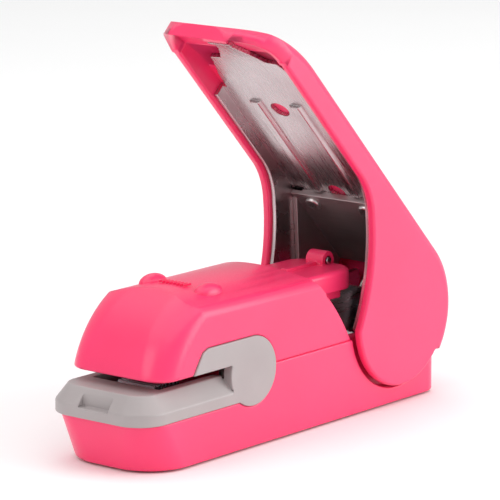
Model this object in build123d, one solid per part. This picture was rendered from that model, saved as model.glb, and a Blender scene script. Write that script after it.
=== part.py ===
"""Hand stapler of the stapleless, crimping kind, in millimetres.

The nose points to -X, Z is up and the desk is Z = 0. The origin is the centre of the
overall box, at its bottom. The lever is drawn level, as it lies when pressed shut, and
is then swung open about the hinge axle into its rest position.
"""
import os
from math import cos, radians, sin, sqrt

from build123d import *

# ---------------------------------------------------------------- driving sizes
LENGTH = 114.0            # nose to the back of the open lever
NOSE_X = -LENGTH / 2
BODY_WIDTH = 30.0         # base and head
LEVER_WIDTH = BODY_WIDTH + 4.1  # lever, over its side walls
OPEN_ANGLE = 46.0         # lever, from level to its rest position
WALL = 2.2                # moulded shells
SHEET = 1.2               # pressed steel of the lever
FRAME_SHEET = 1.5         # pressed steel of the frame
PLAY = 0.3                # gap beside a moving piece
FIT = 0.05                # radial clearance of a running fit

# ---------------------------------------------------------------- lever
BACK_RADIUS = 20.1        # back of the lever round the hinge
LOBE_RADIUS = 17.2        # side lobes round the hinge
BEND_BEFORE = 38.2        # start of the rim's bend, before the hinge
BACK_END = 12.0           # degrees above level where the back wall stops
RIM_DROP = 7.05           # straight rim below the back
TIP_REACH = 92.7          # tip in front of the hinge
TIP_CORNER = 14.0         # corners of the tip, seen from above
EDGE_ROUND = 2.8          # long edges of the back, less than the lobes stand in
BEAD_OFFSET = 6.0         # stiffening beads of the channel, from the middle
BEAD_HALF = 1.8            # stiffening beads, half their width
BEAD_DEPTH = 0.8
HOLE_RADIUS = 2.4         # lightening holes in the channel's web
RIVET_RADIUS = 1.2
BRACKET_ABOVE = 14.9      # bracket's plate over the hinge axle

# ---------------------------------------------------------------- hinge and arm
HINGE_X = LENGTH / 2 - BACK_RADIUS
HINGE_Z = 22.15
AXLE_RADIUS = 2.0
ARM_AXLE_RADIUS = 1.5
ARM_PIVOT_BACK = 8.3      # arm axle behind the hinge axle
ARM_PIVOT_Z = 15.0
ARM_HALF = 6.9            # press arm, half its outer width
ARM_TOP = 29.6
ARM_FRONT = NOSE_X + 14.1
CAP_HALF = 9.2            # pink cap on the arm
CAP_TOP = 34.6
LUG_PIN = 0.9
LUG_RADIUS = 2.35
LUG_Z = 35.45
LUG_BEFORE_HINGE = 11.25

# ---------------------------------------------------------------- base and head
SHELL_BOTTOM = 0.5        # the feet hold the shell this far above the desk
JAW_LINE = 11.8           # joint between the pink base and the grey jaw
JAW_TOP = 18.4            # top of the lower jaw
SEAM_Z = 18.9             # joint between base and head
MOUTH_TOP = 21.0          # underside of the head over the mouth
THROAT_X = NOSE_X + 29.4  # end of the mouth
HEAD_FRONT = NOSE_X + 6.1
HEAD_CORNER = 6.0         # upright corners of the head's front
DOME_RADIUS = 22.6        # front of the head, seen from the side
DOME_Z = 16.5
DOME_SOFTENS = 0.16       # growth of the corner radius per height
HEAD_TOP = 38.5
BUMP_RISE = 2.4           # height of the two bumps on the head
CROWN = 3.1               # rise of the head's top over its shoulders
CHEEK_X = NOSE_X + 38.8
CHEEK_Z = 18.4
CHEEK_RADIUS = 8.2
CHEEK_DEPTH = 2.2         # grey cheeks, in from the side
HEEL_ANGLE = -37.0        # top of the base's heel, seen from the hinge
CHEEK_WALL = 2.0
NOSE_RAKE = 2.6           # nose of the base, set back at the bottom
HEEL_SHORT = 2.5          # base ends before the back of the lever
SCREW_RADIUS = 1.2
BOSS_RADIUS = 2.8
BOSS_TOP = 9.5
FOOT_RADIUS = 3.6
FOOT_HEIGHT = 1.6

# ---------------------------------------------------------------- frame
FRAME_FRONT = NOSE_X + 7.7
FRAME_HALF = 7.2
FRAME_Z = 4.4
PAD_RADIUS = 3.0

# ---------------------------------------------------------------- crimping dies
DIE_X = NOSE_X + 19.2
DIE_LENGTH = 9.0          # along X
DIE_WIDTH = 11.0          # along Y
TOOTH_COUNT = 7
TOOTH_HEIGHT = 1.1
DIE_THICK = 3.0
DIE_SCREW = 1.1
DIE_GAP = 5.2             # upper die over the jaw at rest

# ---------------------------------------------------------------- springs
LEVER_COIL = 3.5
LEVER_WIRE = 1.0
LEVER_TURNS = 7
LEVER_PITCH = 1.15
LEG_ANGLE = 50.0
ARM_COIL = 3.4
ARM_WIRE = 0.8
ARM_SPRING_X = NOSE_X + 48.7
ARM_TURNS = 8

HALF = BODY_WIDTH / 2
LEVER_HALF = LEVER_WIDTH / 2
LEVER_IN = LEVER_HALF - WALL
WASHER = 0.35              # nylon between the base's cheeks and the lever's bracket
RECESS_HALF = LEVER_IN - 2 * SHEET - WASHER - 0.1
BACK_Z = HINGE_Z + BACK_RADIUS
RIM_Z = BACK_Z - RIM_DROP
WEB_TOP = BACK_Z - WALL
ARM_X = HINGE_X + ARM_PIVOT_BACK
LUG_X = HINGE_X - LUG_BEFORE_HINGE
DIE_SCREW_X = (DIE_X - 2.4, DIE_X + 2.4)
DIE_TOP = JAW_TOP - TOOTH_HEIGHT - 0.6
BLOCK_TOP = DIE_TOP - DIE_THICK
UPPER_DIE_Z = JAW_TOP + DIE_GAP
BRACKET_FRONT = HINGE_X - 23.3
BRACKET_REAR = HINGE_X + 3.2
BRACKET_Z = HINGE_Z + BRACKET_ABOVE
RIVET_PLACES = [(BRACKET_FRONT + 3.0, -8.0), (BRACKET_FRONT + 3.0, 8.0)]
CAP_REAR = HINGE_X - 8.4
FRAME_REAR = HINGE_X + 8.5
FRAME_SCREWS = [(NOSE_X + 28.7, 0.0), (HINGE_X - 17.2, 0.0)]
EAR_OUT = RECESS_HALF - CHEEK_WALL - 0.1
EAR_IN = EAR_OUT - FRAME_SHEET
SCREW_Y = HALF - WALL - 2.6
SCREW_PLACES = [(x, side * SCREW_Y) for x in (NOSE_X + 14.7, HINGE_X - 33.2) for side in (-1, 1)]
SCREW_PLACES = SCREW_PLACES + [(HINGE_X + 13.0, -5.5), (HINGE_X + 13.0, 5.5)]
FOOT_PLACES = [(x, y) for x in (NOSE_X + 25.7, HINGE_X + 0.8) for y in (-8.6, 8.6)]
SIDE = Plane.XZ           # sketches drawn in X and Z

os.makedirs("parts", exist_ok=True)


def save(name, shape):
    """Write one node to its STEP file."""
    shape.label = name
    export_step(shape, f"parts/{name}.step")


def slab(face, y0, y1):
    """A side profile, drawn in X and Z, made solid from y0 to y1."""
    return Pos(0, y0, 0) * extrude(face, y1 - y0, dir=(0, 1, 0))


def both(solid):
    """A piece and its mirror image on the other side of the middle."""
    return solid + mirror(solid, Plane.XZ)


def outline(*lines):
    """A closed face from connected lines and arcs in the side plane."""
    return make_face([SIDE * line for line in lines])


def polygon(*points):
    """A closed side face with straight edges."""
    return make_face([SIDE * Polyline(*points, close=True)])


def disc(x, z, radius, y0, y1):
    """A round slab, or a pin, along Y."""
    return Pos(x, (y0 + y1) / 2, z) * Rot(90, 0, 0) * Cylinder(radius, y1 - y0)


def block(x0, x1, y0, y1, z0, z1):
    """A box from its limits."""
    return Pos((x0 + x1) / 2, (y0 + y1) / 2, (z0 + z1) / 2) * Box(x1 - x0, y1 - y0, z1 - z0)


def post(x, y, z0, z1, radius):
    """A round bar standing along Z."""
    return Pos(x, y, (z0 + z1) / 2) * Cylinder(radius, z1 - z0)


def on_hinge(radius, degrees):
    """A point at an angle round the hinge, in X and Z."""
    return (HINGE_X + radius * cos(radians(degrees)), HINGE_Z + radius * sin(radians(degrees)))


def swing(solid):
    """Turn a piece of the lever from level to its open rest position."""
    return solid.rotate(Axis((HINGE_X, 0, HINGE_Z), (0, 1, 0)), OPEN_ANGLE)


def plan(x0, x1, half, front, rear, z0=-5.0, z1=60.0):
    """A tall prism that rounds a body's corners as seen from above."""
    body = block(x0, x1, -half, half, z0, z1)
    upright = body.edges().filter_by(Axis.Z)
    body = fillet(upright.sort_by(Axis.X)[:2], front)
    if rear > 0:
        body = fillet(body.edges().filter_by(Axis.Z).sort_by(Axis.X)[-2:], rear)
    return body


# ================================================================ lever
def lever_rim(shift):
    """The lever's lower edge, moved inwards by a shift, from the front to the lobe."""
    bend = (HINGE_X - BEND_BEFORE, RIM_Z + shift)
    knee = (bend[0] + 11.0 + 0.7 * shift, RIM_Z - 3.9 + 0.7 * shift)
    lobe = on_hinge(LOBE_RADIUS - shift, 230)
    soft = (bend[0] + 6.6 + 0.3 * shift, RIM_Z - 1.2 + shift)
    waist = (HINGE_X - 17.8 + 0.8 * shift, HINGE_Z - 0.4 + 0.5 * shift)
    return [ThreePointArc(bend, soft, knee), ThreePointArc(knee, waist, lobe)], bend, lobe


def lever_profile():
    """The whole side view of the lever."""
    tip = HINGE_X - TIP_REACH
    bends, bend, lobe = lever_rim(0)
    lobe_low = on_hinge(LOBE_RADIUS, 285)
    back_low = on_hinge(BACK_RADIUS, -55)
    return outline(
        Line((tip + 13.0, RIM_Z), bend),
        *bends,
        ThreePointArc(lobe, on_hinge(LOBE_RADIUS, 260), lobe_low),
        Line(lobe_low, back_low),
        ThreePointArc(back_low, on_hinge(BACK_RADIUS, 20), (HINGE_X, BACK_Z)),
        Line((HINGE_X, BACK_Z), (tip + 24.0, BACK_Z)),
        ThreePointArc((tip + 24.0, BACK_Z), (tip + 10.0, BACK_Z - 2.5), (tip, BACK_Z - 8.2)),
        Line((tip, BACK_Z - 8.2), (tip + 1.0, RIM_Z - 4.2)),
        ThreePointArc((tip + 1.0, RIM_Z - 4.2), (tip + 6.0, RIM_Z - 1.0), (tip + 13.0, RIM_Z)),
    )


def lobe_trim():
    """What is cut from behind the lobes, so that they run round the hinge."""
    top = on_hinge(LOBE_RADIUS, BACK_END - 5)
    low = on_hinge(LOBE_RADIUS, -76)
    far = HINGE_X + BACK_RADIUS + 4
    back = on_hinge(BACK_RADIUS + 1, BACK_END)
    return outline(
        ThreePointArc(top, on_hinge(LOBE_RADIUS, -30), low),
        Line(low, (low[0], -3.0)),
        Line((low[0], -3.0), (far, -3.0)),
        Line((far, -3.0), (far, back[1])),
        Line((far, back[1]), back),
        Line(back, top),
    )


def lever_cavity():
    """Side view of the space inside the lever, open below and behind the lobes."""
    tip = HINGE_X - TIP_REACH + WALL
    inner = BACK_RADIUS - WALL
    low = -2.0
    return outline(
        Line((tip + 0.6, low), (tip, BACK_Z - 9.4)),
        ThreePointArc(
            (tip, BACK_Z - 9.4), (tip + 9.0, BACK_Z - WALL - 2.6), (tip + 23.0, BACK_Z - WALL)
        ),
        Line((tip + 23.0, BACK_Z - WALL), (HINGE_X, BACK_Z - WALL)),
        ThreePointArc((HINGE_X, BACK_Z - WALL), on_hinge(inner, 50), on_hinge(inner, BACK_END)),
        Line(on_hinge(inner, BACK_END), on_hinge(BACK_RADIUS + 4, BACK_END)),
        Line(on_hinge(BACK_RADIUS + 4, BACK_END), (HINGE_X + BACK_RADIUS + 4, low)),
        Line((HINGE_X + BACK_RADIUS + 4, low), (tip + 0.6, low)),
    )


def lever_shell():
    """Moulded outer skin of the lever: back, tip and two side walls with lobes."""
    tip = HINGE_X - TIP_REACH
    body = slab(lever_profile(), -LEVER_HALF, LEVER_HALF)
    long_edges = [
        edge
        for edge in body.edges()
        if abs(abs(edge.center().Y) - LEVER_HALF) < 0.01 and edge.center().Z > RIM_Z + 0.5
    ]
    body = fillet(long_edges, EDGE_ROUND)
    body = body - slab(lobe_trim(), -LEVER_HALF - 1, LEVER_HALF + 1)
    body = body & plan(tip, HINGE_X + 40, LEVER_HALF, TIP_CORNER, 0)
    inside = slab(lever_cavity(), -LEVER_IN, LEVER_IN)
    inside = inside & plan(tip + WALL, HINGE_X + 40, LEVER_IN, TIP_CORNER - WALL, 0)
    body = body - inside
    recess = disc(HINGE_X, HINGE_Z, AXLE_RADIUS + 1.6, LEVER_IN - 0.01, LEVER_IN + 1.1)
    body = body - both(recess)
    tab = block(tip + 6.0, tip + 7.2, -3.4, 3.4, BACK_Z - 7.6, BACK_Z - 2.6)
    low = BACK_Z - 7.4
    ribs = [block(tip + 1.6, tip + 6.2, y - 0.5, y + 0.5, low, low + 4.4) for y in (-3.0, 0.0, 3.0)]
    solid = slab(lever_profile(), -LEVER_IN, LEVER_IN)
    for piece in [tab, *ribs]:
        body = body + (piece & solid)
    return body


def lever_channel():
    """Pressed steel channel that stiffens the lever and turns on the hinge axle."""
    front = HINGE_X - 62.3
    rear = HINGE_X - 7.0
    outer = LEVER_IN
    inner = outer - SHEET
    bends, bend, lobe = lever_rim(1.0)
    side = outline(
        Line((front, RIM_Z + 1.0), bend),
        *bends,
        Line(lobe, (HINGE_X, HINGE_Z - 9.0)),
        ThreePointArc((HINGE_X, HINGE_Z - 9.0), (HINGE_X + 9.0, HINGE_Z), (HINGE_X, HINGE_Z + 9.0)),
        Line((HINGE_X, HINGE_Z + 9.0), (rear, WEB_TOP)),
        Line((rear, WEB_TOP), (front, WEB_TOP)),
        Line((front, WEB_TOP), (front, RIM_Z + 1.0)),
    )
    body = slab(side, -outer, outer)
    body = body - block(front - 1, HINGE_X + 30, -inner, inner, -5, WEB_TOP - SHEET)
    body = body - block(rear, HINGE_X + 30, -inner, inner, -5, WEB_TOP + 1)
    layer = slab(lever_cavity(), -outer, outer)
    layer = layer - Pos(0, 0, -SHEET) * layer
    half_shape = [
        (front + 0.01, inner - 1.2),
        (front - 5.3, inner - 1.5),
        (front - 12.4, inner - 3.8),
        (front - 12.7, inner - 7.0),
        (front - 18.6, 3.0),
        (front - 21.0, 2.0),
        (front - 21.0, 3.2),
        (front - 22.4, 3.2),
    ]
    other_half = [(x, -y) for x, y in reversed(half_shape)]
    shape = Polyline(*half_shape, *other_half, close=True)
    tongue = Pos(0, 0, 20) * extrude(make_face([shape]), 30, dir=(0, 0, 1))
    body = body + (tongue & layer)
    under = WEB_TOP - SHEET
    for y in (-BEAD_OFFSET, BEAD_OFFSET):
        ends = (front + 4, BRACKET_FRONT - 0.6)
        bead = block(*ends, y - BEAD_HALF, y + BEAD_HALF, under - BEAD_DEPTH, under)
        lower = bead.edges().filter_by(Axis.X).sort_by(Axis.Z)[:2]
        body = body + chamfer(lower, 0.7)
    for x in (HINGE_X - 55.6, BRACKET_FRONT - 0.7):
        body = body - post(x, 0, WEB_TOP - 4, WEB_TOP + 1, HOLE_RADIUS)
    body = rivet_holes(body)
    return body - disc(HINGE_X, HINGE_Z, AXLE_RADIUS + FIT, -outer - 1, outer + 1)


def lever_bracket():
    """Inner steel bracket: its flat plate pushes the arm's lug at the end of the stroke."""
    outer = LEVER_IN - SHEET
    inner = outer - SHEET
    top = WEB_TOP - SHEET
    plate = block(BRACKET_FRONT, BRACKET_REAR, -outer, outer, BRACKET_Z, BRACKET_Z + SHEET)
    ears = slab(
        polygon(
            (BRACKET_FRONT, BRACKET_Z + SHEET),
            (BRACKET_REAR, BRACKET_Z + SHEET),
            (HINGE_X + 6.0, HINGE_Z + 5.0),
            (HINGE_X + 5.0, HINGE_Z - 5.0),
            (HINGE_X - 6.0, HINGE_Z - 5.0),
            (HINGE_X - 9.0, HINGE_Z + 4.0),
        ),
        inner,
        outer,
    )
    lip = block(BRACKET_FRONT, BRACKET_FRONT + 6.0, -outer + 3, outer - 3, BRACKET_Z + SHEET, top)
    body = rivet_holes(plate + both(ears) + lip)
    return body - disc(HINGE_X, HINGE_Z, AXLE_RADIUS + FIT, -outer - 1, outer + 1)


def rivet_holes(body):
    """Cut the rivets' holes through a piece of the lever."""
    for x, y in RIVET_PLACES:
        body = body - post(x, y, BRACKET_Z - 1, WEB_TOP, RIVET_RADIUS)
    return body


def rivets():
    """Round-headed rivets that join the bracket to the channel."""
    made = []
    for x, y in RIVET_PLACES:
        head = post(x, y, BRACKET_Z - 0.8, BRACKET_Z, 2.1)
        head = fillet(head.edges().sort_by(Axis.Z)[:1], 0.6)
        made.append(head + post(x, y, BRACKET_Z, WEB_TOP, RIVET_RADIUS))
    return made


# ================================================================ base and head
def heel_cut():
    """The space that the lever's back wall sweeps behind the hinge."""
    inner = BACK_RADIUS - WALL - 0.5
    start = on_hinge(inner, HEEL_ANGLE)
    far = HINGE_X + 60
    end = on_hinge(BACK_RADIUS + 1.0, HEEL_ANGLE)
    high = 70.0
    swept = outline(
        Line(end, start),
        ThreePointArc(start, on_hinge(inner, 20), (HINGE_X, HINGE_Z + inner)),
        Line((HINGE_X, HINGE_Z + inner), (HINGE_X, high)),
        Line((HINGE_X, high), (far, high)),
        Line((far, high), (far, end[1])),
        Line((far, end[1]), end),
    )
    return slab(swept, -LEVER_HALF - 1, LEVER_HALF + 1)


def cheek_face(grow=0.0):
    """Side view of one grey cheek: a disc and the arm that runs forward over the mouth."""
    r = CHEEK_RADIUS + grow
    arm_front = CHEEK_X - 21.2 - grow
    round_face = SIDE * Pos(CHEEK_X, CHEEK_Z) * Circle(r)
    arm = polygon(
        (CHEEK_X, CHEEK_Z + r),
        (arm_front + 5.0, CHEEK_Z + r),
        (arm_front + 3.2, CHEEK_Z + r - 0.8),
        (arm_front + 2.2, CHEEK_Z + r - 2.2),
        (arm_front, MOUTH_TOP - grow),
        (CHEEK_X, MOUTH_TOP - grow),
    )
    return round_face + arm


def rounded_plan(front, rear, half, corner, rear_corner, z):
    """A flat outline seen from above, with round corners."""
    face = Pos((front + rear) / 2, 0, z) * Rectangle(rear - front, 2 * half)
    front_corners = face.vertices().sort_by(Axis.X)[:2]
    face = fillet(front_corners, corner)
    return fillet(face.vertices().sort_by(Axis.X)[-2:], rear_corner)


def base_body(inset):
    """Outer form of the base, hull-shaped at the nose, or its cavity when inset."""
    front = NOSE_X + 1.6 + inset
    rear = LENGTH / 2 - HEEL_SHORT - inset
    half = HALF - inset
    low = SHELL_BOTTOM
    foot = rounded_plan(front + NOSE_RAKE, rear, half, 11.0 - inset, 5.0 - inset, low)
    line = rounded_plan(front, rear, half, 7.0 - inset, 5.0 - inset, JAW_LINE)
    hull = loft([foot, line])
    height = SEAM_Z - JAW_LINE + (5 if inset else 0)
    body = hull + extrude(line, height, dir=(0, 0, 1))
    if inset:
        body = body + extrude(foot, 5.0, dir=(0, 0, -1))
    return body


def base_shell():
    """Pink lower housing, open at the bottom, with hinge cheeks between the lobes."""
    body = base_body(0) - base_body(WALL)
    cheek_in = RECESS_HALF - CHEEK_WALL
    reach = LOBE_RADIUS + 2.2
    limit = block(HINGE_X - 24, LENGTH / 2 - HEEL_SHORT, -HALF, HALF, 3.0, SEAM_Z)
    body = body + (both(disc(HINGE_X, HINGE_Z, reach, cheek_in, HALF)) & limit & base_body(0))
    body = body - both(disc(HINGE_X, HINGE_Z, LOBE_RADIUS + 0.6, RECESS_HALF, HALF + 3))
    body = body - heel_cut()
    body = body - block(NOSE_X - 1, CHEEK_X, -HALF - 1, HALF + 1, JAW_LINE, SEAM_Z + 1)
    body = body - both(slab(cheek_face(), HALF - CHEEK_DEPTH, HALF + 1))
    for x, y in SCREW_PLACES:
        body = body + post(x, y, 3.0, BOSS_TOP, BOSS_RADIUS)
    for x, y in SCREW_PLACES:
        body = body - post(x, y, 2.0, BOSS_TOP - 1.0, SCREW_RADIUS)
    return body - disc(HINGE_X, HINGE_Z, AXLE_RADIUS + 0.6, -RECESS_HALF, RECESS_HALF)


def tunnel(inset, x0, x1):
    """The head's cross-section, crowned on top, run along X."""
    half = HALF - inset
    top = HEAD_TOP - inset
    shoulder = top - CROWN
    corner = 3.0 - 0.7 * inset
    crown = ThreePointArc((-half, shoulder), (0, top), (half, shoulder))
    frame = Polyline((-half, shoulder), (-half, 5.0), (half, 5.0), (half, shoulder))
    face = make_face([Plane.YZ * crown, Plane.YZ * frame])
    body = Pos(x0, 0, 0) * extrude(face, x1 - x0, dir=(1, 0, 0))
    tops = body.edges().filter_by(Axis.X).sort_by(Axis.Z)[-2:]
    return fillet(tops, corner)


def head_profile(inset, rear_shift):
    """Side view of the head without its dome: flat top and a hollow rear end."""
    front = HEAD_FRONT - 3
    top = HEAD_TOP - inset + 0.5
    low = SEAM_Z if inset == 0 else SEAM_Z - 3
    r = rear_shift
    return outline(
        Line((HINGE_X - 18.2 + r, low), (front, low)),
        Line((front, low), (front, top)),
        Line((front, top), (HINGE_X - 37.0 + r, top)),
        ThreePointArc((HINGE_X - 37.0 + r, top), (HINGE_X - 26.1 + r, 30.0), (HINGE_X - 18.2 + r, low)),
    )


def dome(inset):
    """Round-cornered sections, set back level by level along the dome's arc."""
    radius = DOME_RADIUS - inset
    half = HALF - inset
    sections = []
    for height in (-2.0, 4.0, 8.0, 12.0, 16.0, 19.0, 21.0, DOME_RADIUS - 0.1):
        rise = min(height, radius - 0.1)
        front = HEAD_FRONT + DOME_RADIUS - sqrt(radius * radius - rise * rise)
        corner = HEAD_CORNER - inset + DOME_SOFTENS * max(rise, 0.0)
        sections.append(rounded_plan(front, 60, half, corner, 1.0, DOME_Z + rise))
    if inset:
        sections = sections[:-1]
    return loft(sections)


def head_form(inset, rear_shift, rear):
    """Solid form of the head, its front corners rounded along the dome."""
    body = slab(head_profile(inset, rear_shift), -HALF + inset, HALF - inset)
    return body & tunnel(inset, HEAD_FRONT - 3, rear) & dome(inset)


def head_cover():
    """Pink upper housing over the press arm."""
    outer = head_form(0, 0, 40)
    inner = head_form(WALL, 5.0, 60)
    body = outer - inner
    body = body - block(NOSE_X, CHEEK_X, -HALF - 1, HALF + 1, SEAM_Z - 1, MOUTH_TOP)
    body = body - both(slab(cheek_face(), HALF - CHEEK_DEPTH, HALF + 1))
    for side in (-1, 1):
        bump = Pos(CHEEK_X - 8.1, side * 8.2, HEAD_TOP - 1.4)
        bump = bump * scale(Sphere(1.0), by=(4.2, 2.6, BUMP_RISE))
        body = body + (bump - inner)
    return body


def jaw_bezel():
    """Grey lower jaw and cheeks round the mouth, with a bevelled rim."""
    half = HALF + 0.3
    low = block(NOSE_X, CHEEK_X, -half, half, JAW_LINE, JAW_TOP) & plan(NOSE_X, 20, half, 7.5, 0)
    rim = low.edges().group_by(Axis.Z)[-1]
    rim = [edge for edge in rim if edge.center().X < CHEEK_X - 1]
    low = chamfer(rim, 3.9, 3.0)
    mouth_half = HALF - 5.2
    wall_half = HALF - WALL
    end = CHEEK_X + 1
    low = low - block(NOSE_X + 11.5, end, -mouth_half, mouth_half, JAW_LINE - 1, JAW_TOP + 1)
    hollow = block(NOSE_X + 4.4, end, -wall_half, wall_half, JAW_LINE - 1, JAW_TOP - 3.4)
    low = low - (hollow & plan(NOSE_X + 4.4, 20, wall_half, 5.5, 0))
    notch = block(NOSE_X - 1, NOSE_X + 2.1, -4.4, 4.4, JAW_LINE + 2.4, JAW_TOP + 1)
    low = low - notch
    cheek = slab(cheek_face(), HALF - CHEEK_DEPTH, half)
    body = low - slab(cheek_face(), -half - 1, half + 1) + both(cheek)
    mouth = block(NOSE_X - 1, THROAT_X, -half - 1, half + 1, JAW_TOP, MOUTH_TOP)
    gap = (MOUTH_TOP - JAW_TOP) / 2
    mouth = mouth + disc(THROAT_X, JAW_TOP + gap, gap, -half - 1, half + 1)
    return body - mouth


def under_plate():
    """Plate that closes the head over the mouth and strips the paper off the upper die."""
    half = HALF - WALL
    front = HEAD_FRONT + WALL + 0.9
    body = block(front, THROAT_X + 4.0, -half, half, MOUTH_TOP - 0.8, MOUTH_TOP + 1.2)
    body = body & plan(front, 60, half, HEAD_CORNER - WALL + 0.8, 0)
    length = DIE_LENGTH / 2 + 0.5
    width = DIE_WIDTH / 2 + 0.5
    return body - block(DIE_X - length, DIE_X + length, -width, width, MOUTH_TOP - 2, MOUTH_TOP + 2)


def bottom_cover():
    """Flat plate that closes the base, with pads under the frame."""
    body = base_body(WALL + 0.1) & block(NOSE_X, LENGTH / 2, -HALF, HALF, 1.0, 2.8)
    for x, y in SCREW_PLACES:
        body = body - post(x, y, 0, 4, SCREW_RADIUS + 0.2)
        body = body - post(x, y, 0, 1.9, SCREW_RADIUS + 1.3)
    for x, y in FOOT_PLACES:
        body = body - post(x, y, 0, FOOT_HEIGHT, FOOT_RADIUS)
    for x, y in FRAME_SCREWS:
        body = body + post(x, y, 2.8, FRAME_Z, PAD_RADIUS)
    for x, y in FRAME_SCREWS:
        body = body - post(x, y, 0, 20, SCREW_RADIUS)
        body = body - post(x, y, 0, 1.9, SCREW_RADIUS + 1.1)
    return body


def frame():
    """Steel frame: floor plate, two ears for the axles and a front wall under the die."""
    top = FRAME_Z + FRAME_SHEET
    floor = block(HINGE_X - 18.0, FRAME_REAR, -EAR_OUT, EAR_OUT, FRAME_Z, top)
    floor = floor + block(FRAME_FRONT, HINGE_X, -FRAME_HALF, FRAME_HALF, FRAME_Z, top)
    ear = polygon(
        (HINGE_X - 18.0, FRAME_Z),
        (FRAME_REAR, FRAME_Z),
        (ARM_X + 3.6, ARM_PIVOT_Z + 1.0),
        on_hinge(BACK_RADIUS - WALL - 1.6, 12),
        on_hinge(BACK_RADIUS - WALL - 1.6, 20),
        on_hinge(7.5, 42),
        on_hinge(7.5, 95),
        on_hinge(7.5, 140),
        (HINGE_X - 8.0, HINGE_Z - 6.0),
        (HINGE_X - 18.0, top + 2.0),
    )
    body = floor + both(slab(ear, EAR_IN - 0.01, EAR_OUT))
    body = body - disc(HINGE_X, HINGE_Z, AXLE_RADIUS, -HALF, HALF)
    body = body - disc(ARM_X, ARM_PIVOT_Z, ARM_AXLE_RADIUS, -HALF, HALF)
    for x in DIE_SCREW_X:
        body = body - post(x, 0, 0, 20, DIE_SCREW)
    for x, y in FRAME_SCREWS:
        body = body - post(x, y, 0, 20, SCREW_RADIUS)
    return body


def teeth(z, up):
    """A row of crimping ridges across the die, standing up or hanging down."""
    pitch = DIE_LENGTH / TOOTH_COUNT
    ridges = []
    for i in range(TOOTH_COUNT):
        x = DIE_X - DIE_LENGTH / 2 + (i + 0.5) * pitch
        ridge = polygon(
            (x - pitch * 0.48, z),
            (x + pitch * 0.48, z),
            (x + pitch * 0.12, z + up * TOOTH_HEIGHT),
            (x - pitch * 0.12, z + up * TOOTH_HEIGHT),
        )
        ridges.append(slab(ridge, -DIE_WIDTH / 2, DIE_WIDTH / 2))
    return ridges


def crimp_die(z0, z1, up):
    """A hardened die plate with its ridges on one face."""
    half = DIE_WIDTH / 2
    body = block(DIE_X - DIE_LENGTH / 2, DIE_X + DIE_LENGTH / 2, -half, half, z0, z1)
    for ridge in teeth(z1 if up > 0 else z0, up):
        body = body + ridge
    hole = (z0, z1 - 1.0) if up > 0 else (z0 + 1.0, z1)
    for x in DIE_SCREW_X:
        body = body - post(x, 0, hole[0], hole[1], DIE_SCREW)
    return body


def die_block():
    """Steel support that carries the lower die on the frame."""
    body = block(DIE_X - 6.5, DIE_X + 6.5, -6.0, 6.0, FRAME_Z + FRAME_SHEET, BLOCK_TOP)
    for x in DIE_SCREW_X:
        body = body - post(x, 0, 0, 20, DIE_SCREW)
    return body


def screw(x, y, z0, z1, radius, head_radius, head):
    """A screw with its head below."""
    body = post(x, y, z0, z1, radius) + post(x, y, z0, z0 + head, head_radius)
    slot = block(x - head_radius * 0.6, x + head_radius * 0.6, y - 0.3, y + 0.3, z0 - 1, z0 + 0.4)
    cross = block(x - 0.3, x + 0.3, y - head_radius * 0.6, y + head_radius * 0.6, z0 - 1, z0 + 0.4)
    return body - slot - cross


# ================================================================ press arm
def press_arm():
    """Inverted steel channel from the rear axle to the upper die."""
    side = polygon(
        (ARM_FRONT, ARM_TOP - 2.4),
        (ARM_FRONT, ARM_TOP),
        (HINGE_X - 9.0, ARM_TOP),
        (HINGE_X + 2.0, HINGE_Z + 5.0),
        (ARM_X + 3.2, ARM_PIVOT_Z + 2.5),
        (ARM_X + 3.2, ARM_PIVOT_Z - 3.2),
        (ARM_X - 3.2, ARM_PIVOT_Z - 3.2),
        (HINGE_X - 8.0, ARM_TOP - 11.0),
        (-0.3, ARM_TOP - 7.6),
        (-20.3, ARM_TOP - 3.4),
    )
    body = slab(side, -ARM_HALF, ARM_HALF)
    inner = ARM_HALF - FRAME_SHEET
    body = body - block(-60, 80, -inner, inner, 0, ARM_TOP - FRAME_SHEET)
    body = body - block(HINGE_X - 9.0, 80, -inner, inner, 0, 60)
    body = body - disc(HINGE_X, HINGE_Z, AXLE_RADIUS + 1.3, -20, 20)
    body = body - disc(ARM_X, ARM_PIVOT_Z, ARM_AXLE_RADIUS + FIT, -20, 20)
    for x in DIE_SCREW_X:
        body = body - post(x, 0, 20, 40, DIE_SCREW)
    return body


def arm_cap():
    """Pink cover on the rear of the press arm with the lug that the lever pushes."""
    front = CAP_REAR - 28.8
    body = block(front, CAP_REAR, -CAP_HALF, CAP_HALF, ARM_TOP, CAP_TOP)
    body = fillet(body.edges().filter_by(Axis.Z).sort_by(Axis.X)[-2:], 5.0)
    body = fillet(body.faces().sort_by(Axis.Z)[-1].edges(), 1.2)
    skirt = block(front, CAP_REAR - 5.0, ARM_HALF, ARM_HALF + 1.2, ARM_TOP - 2.0, ARM_TOP)
    body = body + both(skirt)
    lug = disc(LUG_X, LUG_Z, LUG_RADIUS, -2.6, 2.6)
    lug = lug + block(LUG_X - 2.0, LUG_X + 2.0, -2.6, 2.6, CAP_TOP - 0.5, LUG_Z)
    rib = block(LUG_X - 14.0, LUG_X - 1.0, -0.9, 0.9, CAP_TOP - 0.2, CAP_TOP + 0.8)
    body = body + lug + rib
    return body - disc(LUG_X, LUG_Z, LUG_PIN, -5, 5)


def die_holder():
    """Steel block that hangs the upper die from the press arm."""
    half = DIE_WIDTH / 2 - 0.4
    low = UPPER_DIE_Z + DIE_THICK
    body = block(DIE_X - 4.0, DIE_X + 4.0, -half + 0.4, half - 0.4, low, ARM_TOP - FRAME_SHEET)
    for x in DIE_SCREW_X:
        body = body - post(x, 0, 20, 40, DIE_SCREW)
    return body


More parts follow.
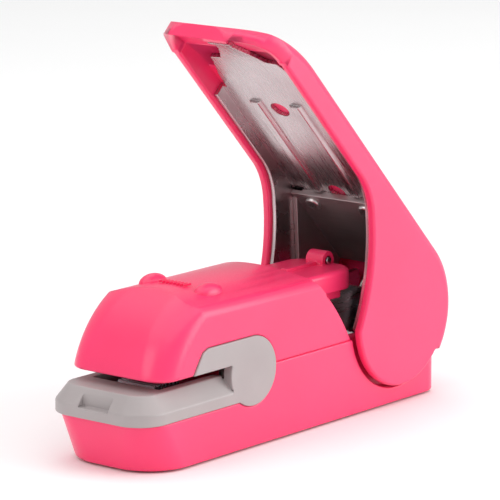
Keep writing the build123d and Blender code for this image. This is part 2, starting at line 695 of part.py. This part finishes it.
def coil(radius, wire, turns, pitch):
    """A helical spring standing on Z, with its first turn at Z = 0."""
    path = Helix(pitch=pitch, height=pitch * turns, radius=radius)
    section = Plane(path @ 0, z_dir=path % 0) * Circle(wire / 2)
    return sweep(section, path)


def rod(start, end, radius):
    """A straight round bar between two points."""
    a = Vector(*start)
    b = Vector(*end)
    direction = b - a
    return Plane(origin=a, z_dir=direction) * Cylinder(
        radius, direction.length, align=(Align.CENTER, Align.CENTER, Align.MIN)
    )


def lever_spring():
    """Torsion spring round the hinge axle, between the frame's floor and the bracket."""
    length = LEVER_PITCH * LEVER_TURNS
    turns = coil(LEVER_COIL, LEVER_WIRE, LEVER_TURNS, LEVER_PITCH)
    turns = Pos(HINGE_X, length / 2, HINGE_Z) * Rot(90, 0, 0) * turns
    y0 = length / 2
    y1 = -length / 2
    floor = FRAME_Z + FRAME_SHEET + LEVER_WIRE / 2
    low = rod((HINGE_X - LEVER_COIL, y0, HINGE_Z), (HINGE_X - LEVER_COIL, y0, floor), LEVER_WIRE / 2)
    along = Vector(cos(radians(LEG_ANGLE)), 0, sin(radians(LEG_ANGLE)))
    normal = Vector(sin(radians(OPEN_ANGLE)), 0, cos(radians(OPEN_ANGLE)))
    foot = Vector(-sin(radians(LEG_ANGLE)), 0, cos(radians(LEG_ANGLE))) * LEVER_COIL
    reach = (BRACKET_Z - HINGE_Z - LEVER_WIRE / 2 - 0.1 - foot.dot(normal)) / along.dot(normal)
    start = Vector(HINGE_X, y1, HINGE_Z) + foot
    end = start + along * reach
    high = rod((start.X, start.Y, start.Z), (end.X, end.Y, end.Z), LEVER_WIRE / 2)
    return [turns, low, high]


def arm_spring():
    """Compression spring that lifts the press arm off the paper."""
    low = FRAME_Z + FRAME_SHEET + ARM_WIRE / 2
    high = ARM_TOP - FRAME_SHEET - ARM_WIRE / 2
    return Pos(ARM_SPRING_X, 0, low) * coil(ARM_COIL, ARM_WIRE, ARM_TURNS, (high - low) / ARM_TURNS)


def spring_post():
    """Plastic guide that stands inside the arm's spring."""
    base = FRAME_Z + FRAME_SHEET
    stem = post(ARM_SPRING_X, 0, base, 19.0, ARM_COIL - ARM_WIRE / 2 - PLAY)
    return chamfer(stem.edges().sort_by(Axis.Z)[-1:], 0.8)


def ring(x, z, inner, outer, y0, y1):
    """A flat ring on an axle that lies along Y."""
    return disc(x, z, outer, y0, y1) - disc(x, z, inner, y0 - 1, y1 + 1)


def lever_nodes():
    """Pieces that swing with the lever."""
    save("lever_shell", swing(lever_shell()))
    save("lever_channel", swing(lever_channel()))
    save("lever_bracket", swing(lever_bracket()))
    save("lever_rivets", Compound([swing(piece) for piece in rivets()]))


def base_nodes():
    """Pieces that stay still."""
    save("base_shell", base_shell())
    save("head_cover", head_cover())
    save("jaw_bezel", jaw_bezel())
    save("under_plate", under_plate())
    save("bottom_cover", bottom_cover())
    save("rubber_feet", Compound([post(x, y, 0, FOOT_HEIGHT, FOOT_RADIUS) for x, y in FOOT_PLACES]))
    save("frame", frame())
    save("die_block", die_block())
    save("lower_die", crimp_die(BLOCK_TOP, DIE_TOP, 1))
    ends = (FRAME_Z - 1.1, DIE_TOP - 1.2)
    save("lower_die_screws", Compound([screw(x, 0, *ends, DIE_SCREW, 2.0, 1.1) for x in DIE_SCREW_X]))
    ends = (1.0, BOSS_TOP - 1.4)
    wide = SCREW_RADIUS + 1.1
    made = [screw(x, y, *ends, SCREW_RADIUS, wide, 0.9) for x, y in SCREW_PLACES]
    save("cover_screws", Compound(made))
    ends = (1.0, FRAME_Z + FRAME_SHEET)
    wide = SCREW_RADIUS + 0.9
    made = [screw(x, y, *ends, SCREW_RADIUS, wide, 0.9) for x, y in FRAME_SCREWS]
    save("frame_screws", Compound(made))
    save("hinge_axle", disc(HINGE_X, HINGE_Z, AXLE_RADIUS, -LEVER_IN - 0.8, LEVER_IN + 0.8))
    inner = LEVER_IN + 0.05
    save("axle_rings", both(ring(HINGE_X, HINGE_Z, AXLE_RADIUS, 3.1, inner, inner + 0.7)))
    washer = ring(HINGE_X, HINGE_Z, AXLE_RADIUS, 4.2, RECESS_HALF, RECESS_HALF + WASHER)
    save("hinge_washers", both(washer))
    save("arm_axle", disc(ARM_X, ARM_PIVOT_Z, ARM_AXLE_RADIUS, -EAR_OUT, EAR_OUT))
    bush = ring(ARM_X, ARM_PIVOT_Z, ARM_AXLE_RADIUS, 2.6, ARM_HALF + 0.2, EAR_IN - 0.05)
    save("arm_bushes", both(bush))
    save("lever_spring", Compound(lever_spring()))
    save("arm_spring", arm_spring())
    save("spring_post", spring_post())


def arm_nodes():
    """Pieces that move with the press arm."""
    save("press_arm", press_arm())
    save("arm_cap", arm_cap())
    save("lug_pin", disc(LUG_X, LUG_Z, LUG_PIN, -2.9, 2.9))
    save("upper_die", crimp_die(UPPER_DIE_Z, UPPER_DIE_Z + DIE_THICK, -1))
    save("die_holder", die_holder())
    low = UPPER_DIE_Z + 1.2
    made = [
        post(x, 0, low, ARM_TOP, DIE_SCREW) + post(x, 0, ARM_TOP, ARM_TOP + 1.2, 2.0)
        for x in DIE_SCREW_X
    ]
    save("upper_die_screws", Compound(made))


lever_nodes()
base_nodes()
arm_nodes()
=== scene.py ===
from math import cos, radians, sin

import bmesh
import bpy
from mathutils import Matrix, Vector
from mathutils.bvhtree import BVHTree


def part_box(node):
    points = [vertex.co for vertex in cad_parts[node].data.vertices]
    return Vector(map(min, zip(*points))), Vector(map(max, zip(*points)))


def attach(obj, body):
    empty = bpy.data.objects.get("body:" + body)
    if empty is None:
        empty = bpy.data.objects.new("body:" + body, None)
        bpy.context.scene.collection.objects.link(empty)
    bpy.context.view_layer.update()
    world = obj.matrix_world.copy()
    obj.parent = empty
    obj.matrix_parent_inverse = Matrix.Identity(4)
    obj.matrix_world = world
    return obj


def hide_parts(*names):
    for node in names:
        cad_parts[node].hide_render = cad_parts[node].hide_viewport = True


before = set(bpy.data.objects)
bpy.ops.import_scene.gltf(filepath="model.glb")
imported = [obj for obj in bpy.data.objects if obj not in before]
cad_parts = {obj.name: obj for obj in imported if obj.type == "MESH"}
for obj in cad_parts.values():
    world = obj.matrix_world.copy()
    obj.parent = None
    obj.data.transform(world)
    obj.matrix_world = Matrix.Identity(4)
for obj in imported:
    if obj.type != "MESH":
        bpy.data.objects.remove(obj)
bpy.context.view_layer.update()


# ---------------------------------------------------------------- lever shell
# The long moulded skin of the lever, in satin pink ABS, with soft edges all round.
# It is one injection moulding, open below, with round lobes that hide the hinge.
def tool_marks(material, scale, stretch=(1, 1, 1)):
    """Fine noise on Object coordinates, for the surface left by the mould or the rolls."""
    nodes = material.node_tree.nodes
    links = material.node_tree.links
    place = nodes.new("ShaderNodeTexCoord")
    turn = nodes.new("ShaderNodeMapping")
    turn.inputs["Scale"].default_value = stretch
    noise = nodes.new("ShaderNodeTexNoise")
    noise.inputs["Scale"].default_value = scale
    noise.inputs["Detail"].default_value = 4
    links.new(place.outputs["Object"], turn.inputs["Vector"])
    links.new(turn.outputs["Vector"], noise.inputs["Vector"])
    return noise


def vary(material, noise, low, high, socket):
    """Let a socket of the shader run between two values with a noise."""
    nodes = material.node_tree.nodes
    ramp = nodes.new("ShaderNodeMapRange")
    ramp.inputs["From Min"].default_value = 0.3
    ramp.inputs["From Max"].default_value = 0.7
    ramp.inputs["To Min"].default_value = low
    ramp.inputs["To Max"].default_value = high
    material.node_tree.links.new(noise.outputs["Fac"], ramp.inputs["Value"])
    material.node_tree.links.new(ramp.outputs["Result"], nodes["Principled BSDF"].inputs[socket])


def tint(material, noise, first, second):
    """Let the colour drift between two close tones with a noise."""
    nodes = material.node_tree.nodes
    ramp = nodes.new("ShaderNodeValToRGB")
    ramp.color_ramp.elements[0].position = 0.35
    ramp.color_ramp.elements[1].position = 0.65
    ramp.color_ramp.elements[0].color = (*first, 1)
    ramp.color_ramp.elements[1].color = (*second, 1)
    material.node_tree.links.new(noise.outputs["Fac"], ramp.inputs["Fac"])
    material.node_tree.links.new(ramp.outputs["Color"], nodes["Principled BSDF"].inputs["Base Color"])


def grain(material, noise, depth, strength):
    """Raise a noise as a fine relief."""
    nodes = material.node_tree.nodes
    relief = nodes.new("ShaderNodeBump")
    relief.inputs["Distance"].default_value = depth
    relief.inputs["Strength"].default_value = strength
    material.node_tree.links.new(noise.outputs["Fac"], relief.inputs["Height"])
    material.node_tree.links.new(relief.outputs["Normal"], nodes["Principled BSDF"].inputs["Normal"])


def finish(name, metallic=0.0, coat=0.0):
    """A new material with its shader's constant sockets set."""
    material = bpy.data.materials.new(name)
    material.use_nodes = True
    shader = material.node_tree.nodes["Principled BSDF"]
    shader.inputs["Metallic"].default_value = metallic
    shader.inputs["Coat Weight"].default_value = coat
    shader.inputs["Coat Roughness"].default_value = 0.22
    return material


def moulded_pink(name, seed):
    """Satin pink ABS: slight flow tone, fine spark-eroded grain, soft gloss."""
    material = finish(name, coat=0.25)
    shader = material.node_tree.nodes["Principled BSDF"]
    shader.inputs["IOR"].default_value = 1.5
    shader.inputs["Subsurface Weight"].default_value = 0.08
    shader.inputs["Subsurface Radius"].default_value = (0.0012, 0.0004, 0.0003)
    flow = tool_marks(material, 38 + seed)
    tint(material, flow, (0.92, 0.030, 0.140), (0.95, 0.035, 0.152))
    fine = tool_marks(material, 2600)
    vary(material, fine, 0.30, 0.40, "Roughness")
    grain(material, fine, 0.00003, 0.18)
    return material


TOUCHING = 1e-6         # metres off the surface that still count as on it
FARTHEST_SHARE = 0.6    # how far a rounded point may lie in, as a share of the width
FARTHEST_OUT = 2e-5     # how far it may stand out, in metres


def settle(piece, rounding, width):
    """Apply the rounding and lay stray corner points back on the surface they came from."""
    before = BVHTree.FromPolygons(
        [vertex.co.copy() for vertex in piece.data.vertices],
        [tuple(face.vertices) for face in piece.data.polygons],
    )
    bpy.context.view_layer.update()
    graph = bpy.context.evaluated_depsgraph_get()
    made = bpy.data.meshes.new_from_object(piece.evaluated_get(graph))
    piece.modifiers.remove(rounding)
    piece.data = made
    for vertex in made.vertices:
        place, normal, index, distance = before.find_nearest(vertex.co)
        outside = (vertex.co - place).dot(normal) > TOUCHING
        if distance > FARTHEST_SHARE * width or (outside and distance > FARTHEST_OUT):
            vertex.co = place


def rounded(node, name, width, angle=32, segments=3, keep=None):
    """A clean copy of a CAD node's mesh with its sharp edges rounded, but those that keep names."""
    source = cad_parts[node]
    work = bmesh.new()
    work.from_mesh(source.data)
    bmesh.ops.remove_doubles(work, verts=work.verts, dist=2e-6)
    bmesh.ops.dissolve_limit(
        work, angle_limit=radians(0.6), verts=work.verts, edges=work.edges, delimit=set()
    )
    weight = work.edges.layers.float.new("bevel_weight_edge")
    for edge in work.edges:
        sharp = edge.is_manifold and edge.calc_face_angle(0.0) > radians(angle)
        middle = (edge.verts[0].co + edge.verts[1].co) / 2
        edge[weight] = 1.0 if sharp and not (keep and keep(middle)) else 0.0
    mesh = bpy.data.meshes.new(name)
    work.to_mesh(mesh)
    work.free()
    for face in mesh.polygons:
        face.use_smooth = True
    piece = bpy.data.objects.new(name, mesh)
    bpy.context.scene.collection.objects.link(piece)
    rounding = piece.modifiers.new("edge", "BEVEL")
    rounding.width = width
    rounding.segments = segments
    rounding.limit_method = "WEIGHT"
    rounding.use_clamp_overlap = False
    rounding.miter_outer = "MITER_ARC"
    settle(piece, rounding, width)
    shade = piece.modifiers.new("shade", "WEIGHTED_NORMAL")
    shade.keep_sharp = True
    shade.weight = 80
    return piece


def fit(piece, node, body, material):
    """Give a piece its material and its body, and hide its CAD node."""
    piece.data.materials.clear()
    piece.data.materials.append(material)
    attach(piece, body)
    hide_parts(node)


def near_tip(point):
    """Whether a point lies at the lever's tip, whose corners are rounded already."""
    return point.z > 0.078


lever_skin = rounded("lever_shell", "lever_skin", 0.0007, keep=near_tip)
fit(lever_skin, "lever_shell", "lever", moulded_pink("pink_lever", 1))


# ---------------------------------------------------------------- lever channel
# Pressed channel of bright rolled steel, 1.2 mm thick, that fills the lever.
# Its beads and tongue are formed in the press; the rolling lines run along it.
def rolled_steel(name, tone, low, high, stretch=(0.04, 1, 1), relief=0.25):
    """Bare sheet: rolling lines along the piece, faint cloudy patches."""
    material = finish(name, metallic=1.0)
    cloud = tool_marks(material, 120)
    dark = tuple(0.90 * value for value in tone)
    tint(material, cloud, dark, tone)
    lines = tool_marks(material, 2400, stretch)
    vary(material, lines, low, high, "Roughness")
    grain(material, lines, 0.00002, relief)
    return material


channel = rounded("lever_channel", "channel_pressing", 0.00018)
fit(
    channel,
    "lever_channel",
    "lever",
    rolled_steel("lever_sheet", (0.60, 0.53, 0.54), 0.22, 0.34, (0.05, 1, 0.05)),
)


# ---------------------------------------------------------------- lever bracket and rivets
# Inner bracket of duller plated sheet, riveted under the channel's web.
# Its flat plate bears on the arm's lug; the rivets are headed cold.
bracket = rounded("lever_bracket", "plate_bracket", 0.0002)
fit(
    bracket,
    "lever_bracket",
    "lever",
    rolled_steel("bracket_sheet", (0.48, 0.42, 0.42), 0.42, 0.55, (1, 0.05, 1)),
)
rivet = rounded("lever_rivets", "rivet_pair", 0.0001)
fit(
    rivet,
    "lever_rivets",
    "lever",
    rolled_steel("rivet_metal", (0.66, 0.65, 0.64), 0.25, 0.4, (1, 1, 1)),
)


# ---------------------------------------------------------------- base shell
# Lower housing, one pink moulding with a raked nose and a heel behind the hinge.
# It carries the grey jaw in front and is closed by a screwed cover.
base = rounded("base_shell", "base_housing", 0.0005)
fit(base, "base_shell", "base", moulded_pink("pink_base", 4))


# ---------------------------------------------------------------- head cover
# Upper housing over the arm, pink, with a domed front and two finger bumps.
# It snaps on the base along the joint line and never moves.
head_low, head_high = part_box("head_cover")
bump_x = (head_low[0] + 0.019, head_low[0] + 0.030)


def near_bump(point):
    """Whether a point lies where a bump meets the head, or on its thin rear crest."""
    beside = bump_x[0] < point.x < bump_x[1] and 0.004 < abs(point.y) < 0.0125
    return (beside or point.x > -0.012) and point.z > 0.0305


head = rounded("head_cover", "head_housing", 0.0005, keep=near_bump)
fit(head, "head_cover", "base", moulded_pink("pink_head", 7))


# ---------------------------------------------------------------- grip ticks
# A row of short raised ticks between the bumps, moulded with the head cover.
# They show where the dies are, and are the same pink.
def tick_row(count, pitch, length, width, height):
    """A Geometry Nodes tree that lays slanted ticks in a row along Y."""
    tree = bpy.data.node_groups.new("tick_row", "GeometryNodeTree")
    tree.interface.new_socket("Geometry", in_out="OUTPUT", socket_type="NodeSocketGeometry")
    number = tree.interface.new_socket("Count", in_out="INPUT", socket_type="NodeSocketInt")
    step = tree.interface.new_socket("Pitch", in_out="INPUT", socket_type="NodeSocketFloat")
    size = tree.interface.new_socket("Tick Size", in_out="INPUT", socket_type="NodeSocketVector")
    paint = tree.interface.new_socket("Material", in_out="INPUT", socket_type="NodeSocketMaterial")
    number.default_value = count
    step.default_value = pitch
    size.default_value = (length, width, height)
    inlet = tree.nodes.new("NodeGroupInput")
    outlet = tree.nodes.new("NodeGroupOutput")
    line = tree.nodes.new("GeometryNodeMeshLine")
    offset = tree.nodes.new("ShaderNodeCombineXYZ")
    tick = tree.nodes.new("GeometryNodeMeshCube")
    turn = tree.nodes.new("GeometryNodeTransform")
    place = tree.nodes.new("GeometryNodeInstanceOnPoints")
    real = tree.nodes.new("GeometryNodeRealizeInstances")
    colour = tree.nodes.new("GeometryNodeSetMaterial")
    turn.inputs["Rotation"].default_value = (0, 0, radians(-10))
    link = tree.links.new
    link(inlet.outputs["Count"], line.inputs["Count"])
    link(inlet.outputs["Pitch"], offset.inputs["Y"])
    link(offset.outputs["Vector"], line.inputs["Offset"])
    link(inlet.outputs["Tick Size"], tick.inputs["Size"])
    link(tick.outputs["Mesh"], turn.inputs["Geometry"])
    link(line.outputs["Mesh"], place.inputs["Points"])
    link(turn.outputs["Geometry"], place.inputs["Instance"])
    link(place.outputs["Instances"], real.inputs["Geometry"])
    link(real.outputs["Geometry"], colour.inputs["Geometry"])
    link(inlet.outputs["Material"], colour.inputs["Material"])
    link(colour.outputs["Geometry"], outlet.inputs["Geometry"])
    return tree, paint.identifier


def as_mesh(tree, paint, material, name, place):
    """Turn a Geometry Nodes tree into a plain mesh, moved to its place."""
    seed = bpy.data.meshes.new(name)
    holder = bpy.data.objects.new(name, seed)
    bpy.context.scene.collection.objects.link(holder)
    rule = holder.modifiers.new("rule", "NODES")
    rule.node_group = tree
    rule[paint] = material
    bpy.context.view_layer.update()
    graph = bpy.context.evaluated_depsgraph_get()
    made = bpy.data.meshes.new_from_object(holder.evaluated_get(graph))
    holder.modifiers.remove(rule)
    holder.data = made
    made.name = name
    for vertex in made.vertices:
        vertex.co = vertex.co + Vector(place)
    return holder


tree, paint = tick_row(8, 0.00105, 0.0022, 0.0003, 0.0005)
ticks = as_mesh(
    tree,
    paint,
    moulded_pink("pink_ticks", 9),
    "grip_ticks",
    (head_low[0] + 0.0222, -0.0037, head_high[2] - 0.00075),
)
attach(ticks, "base")


# ---------------------------------------------------------------- grey jaw
# Jaw bezel and cheeks, one moulding in warm grey with a fine satin grain.
# It frames the mouth and takes the wear of the paper's edge.
def moulded_grey(name, first, second, low=0.34, high=0.46):
    """Grey or black ABS with a fine even grain."""
    material = finish(name, coat=0.1)
    cloud = tool_marks(material, 60)
    tint(material, cloud, first, second)
    fine = tool_marks(material, 3000)
    vary(material, fine, low, high, "Roughness")
    grain(material, fine, 0.00003, 0.2)
    return material


jaw = rounded("jaw_bezel", "jaw_moulding", 0.0003)
grey = moulded_grey("jaw_grey", (0.37, 0.325, 0.325), (0.40, 0.355, 0.355))
fit(jaw, "jaw_bezel", "base", grey)


# ---------------------------------------------------------------- mouth plate
# Pink moulded plate that makes the lip under the head.
# The upper die passes its window; it is fixed inside the head cover.
mouth = rounded("under_plate", "mouth_plate", 0.0003)
fit(mouth, "under_plate", "base", moulded_pink("pink_mouth", 15))


# ---------------------------------------------------------------- bottom cover and feet
# Flat grey cover screwed into the base, with four pressed-in rubber feet.
under = rounded("bottom_cover", "cover_plate", 0.0002)
cover_grey = moulded_grey("cover_grey", (0.30, 0.29, 0.29), (0.34, 0.33, 0.33))
fit(under, "bottom_cover", "base", cover_grey)
feet = rounded("rubber_feet", "foot_pads", 0.0004)
rubber = moulded_grey("foot_black", (0.03, 0.03, 0.03), (0.05, 0.05, 0.05), 0.6, 0.8)
fit(feet, "rubber_feet", "base", rubber)


# ---------------------------------------------------------------- frame, die block and press arm
# Zinc-plated pressings and a machined block: the load path of the press.
# The frame carries both axles in its ears; the arm holds the upper die.
plated = rolled_steel("plated_sheet", (0.62, 0.62, 0.64), 0.24, 0.38, (0.06, 1, 1))
for node, body in (("frame", "base"), ("die_block", "base"), ("press_arm", "arm"), ("die_holder", "arm")):
    fit(rounded(node, node + "_metal", 0.00015), node, body, plated)


# ---------------------------------------------------------------- dies
# Two hardened plates with crimping ridges, ground on their faces.
hard = rolled_steel("die_metal", (0.42, 0.43, 0.46), 0.18, 0.30, (1, 0.05, 1))
for node, body in (("lower_die", "base"), ("upper_die", "arm")):
    fit(rounded(node, node + "_metal", 0.00008), node, body, hard)


# ---------------------------------------------------------------- arm cap and lug pin
# Pink cover over the rear of the arm; the lever's plate pushes its raised lug.
# A steel pin runs through the lug.
cap = rounded("arm_cap", "arm_cover", 0.0003)
fit(cap, "arm_cap", "arm", moulded_pink("pink_cap", 12))
pin = rolled_steel("pin_metal", (0.68, 0.68, 0.69), 0.15, 0.28, (1, 0.05, 1))
fit(rounded("lug_pin", "lug_axle", 0.0002), "lug_pin", "arm", pin)


# ---------------------------------------------------------------- axles, rings, washers and bushes
# Ground steel axles in the frame's ears, held by spring rings; nylon between the moving walls.
for node in ("hinge_axle", "arm_axle"):
    fit(rounded(node, node + "_pin", 0.0002), node, "base", pin)
wire = rolled_steel("spring_wire", (0.48, 0.47, 0.44), 0.22, 0.36, (1, 1, 1))
fit(rounded("axle_rings", "retaining_rings", 0.00008), "axle_rings", "base", wire)
nylon = moulded_grey("natural_nylon", (0.80, 0.78, 0.72), (0.84, 0.82, 0.77), 0.4, 0.5)
for node in ("hinge_washers", "arm_bushes", "spring_post"):
    fit(rounded(node, node + "_nylon", 0.00006), node, "base", nylon)


# ---------------------------------------------------------------- springs
# Drawn wire: a torsion spring round the hinge axle and a compression spring under the arm.
for node in ("lever_spring", "arm_spring"):
    coil = rounded(node, node + "_wire", 0.00004, angle=60, segments=1)
    fit(coil, node, "base", wire)


# ---------------------------------------------------------------- screws
# Zinc-plated cross-recessed screws of the dies, the frame and the cover.
zinc = rolled_steel("screw_metal", (0.58, 0.58, 0.60), 0.25, 0.4, (1, 1, 1))
for node, body in (
    ("lower_die_screws", "base"),
    ("upper_die_screws", "arm"),
    ("cover_screws", "base"),
    ("frame_screws", "base"),
):
    fit(rounded(node, node + "_set", 0.00008), node, body, zinc)


# ---------------------------------------------------------------- floor
# A wide pale board under the object, with a barely visible tone.
floor_half = 6.0
sheet = bpy.data.meshes.new("floor")
corners = [(x * floor_half, y * floor_half, 0) for x, y in ((-1, -1), (1, -1), (1, 1), (-1, 1))]
sheet.from_pydata(corners, [], [(0, 1, 2, 3)])
floor = bpy.data.objects.new("floor", sheet)
bpy.context.scene.collection.objects.link(floor)
board = finish("floor_board")
tint(board, tool_marks(board, 3), (0.93, 0.93, 0.93), (0.95, 0.95, 0.95))
board.node_tree.nodes["Principled BSDF"].inputs["Roughness"].default_value = 0.9
sheet.materials.append(board)


# ---------------------------------------------------------------- light and camera
def soft_light(name, place, target, size, power):
    """A square soft box that looks at a point."""
    lamp = bpy.data.lights.new(name, "AREA")
    lamp.shape = "RECTANGLE"
    lamp.size = size[0]
    lamp.size_y = size[1]
    lamp.energy = power
    box = bpy.data.objects.new(name, lamp)
    bpy.context.scene.collection.objects.link(box)
    box.location = place
    box.rotation_euler = (Vector(target) - Vector(place)).to_track_quat("-Z", "Y").to_euler()
    return box


world = bpy.data.worlds.new("studio")
world.use_nodes = True
world.node_tree.nodes["Background"].inputs["Color"].default_value = (1.0, 1.0, 1.0, 1)
world.node_tree.nodes["Background"].inputs["Strength"].default_value = 0.55
bpy.context.scene.world = world
middle = (0.0, 0.0, 0.04)
soft_light("side", (0.55, -0.85, 0.35), middle, (0.9, 0.7), 6.5)
soft_light("front", (-0.8, 0.15, 0.45), middle, (0.5, 0.5), 1.6)
soft_light("top", (0.05, 0.0, 1.0), middle, (1.6, 1.6), 9.0)

eye = bpy.data.cameras.new("view")
eye.lens = 252.8
eye.sensor_width = 36.0
eye.clip_end = 30.0
camera = bpy.data.objects.new("view", eye)
bpy.context.scene.collection.objects.link(camera)
camera.location = (-0.6266, -0.5076, 0.2073)
heading = radians(50.947)
dip = radians(11.596)
ahead = Vector((sin(heading) * cos(dip), cos(heading) * cos(dip), -sin(dip)))
camera.rotation_euler = ahead.to_track_quat("-Z", "Y").to_euler()
bpy.context.scene.camera = camera
bpy.context.scene.view_settings.view_transform = "Standard"
